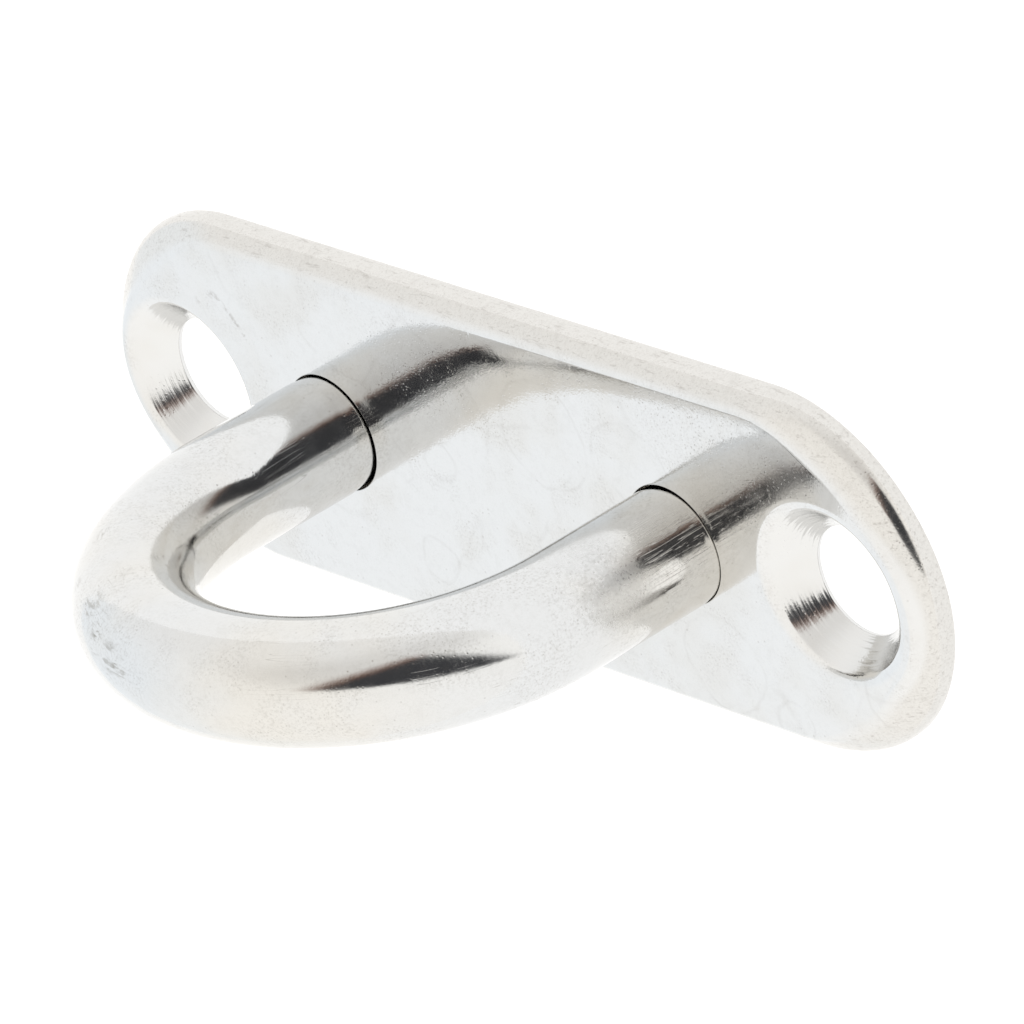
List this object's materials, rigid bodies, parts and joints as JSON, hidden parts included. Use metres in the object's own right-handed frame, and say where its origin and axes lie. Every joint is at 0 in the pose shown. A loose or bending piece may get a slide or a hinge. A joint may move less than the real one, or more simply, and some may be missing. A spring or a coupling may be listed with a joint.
{
  "type": "pad eye",
  "caption": "Oblong plate pad eye with countersunk screw holes and a fixed U-shaped round-bar bow welded from behind.",
  "frame": {"origin": "centre of the plate's back face", "axes": "+X along the plate's length through both screw holes, +Y across the plate, +Z out of the mounting face towards the eye"},
  "size_m": [0.0566, 0.0184, 0.024],
  "materials": {
    "plate_steel": "electropolished stainless sheet, cool and nearly mirror bright, with faint water stains",
    "bar_steel": "tumble-polished stainless bar, slightly warm, with fine orange peel and small scratches",
    "weld_metal": "stainless weld ground flush, fine grinding lines"
  },
  "bodies": {
    "root": {"base_plate": "plate_steel", "eye_bow": "bar_steel", "weld_left": "weld_metal", "weld_right": "weld_metal"}
  },
  "joints": []
}
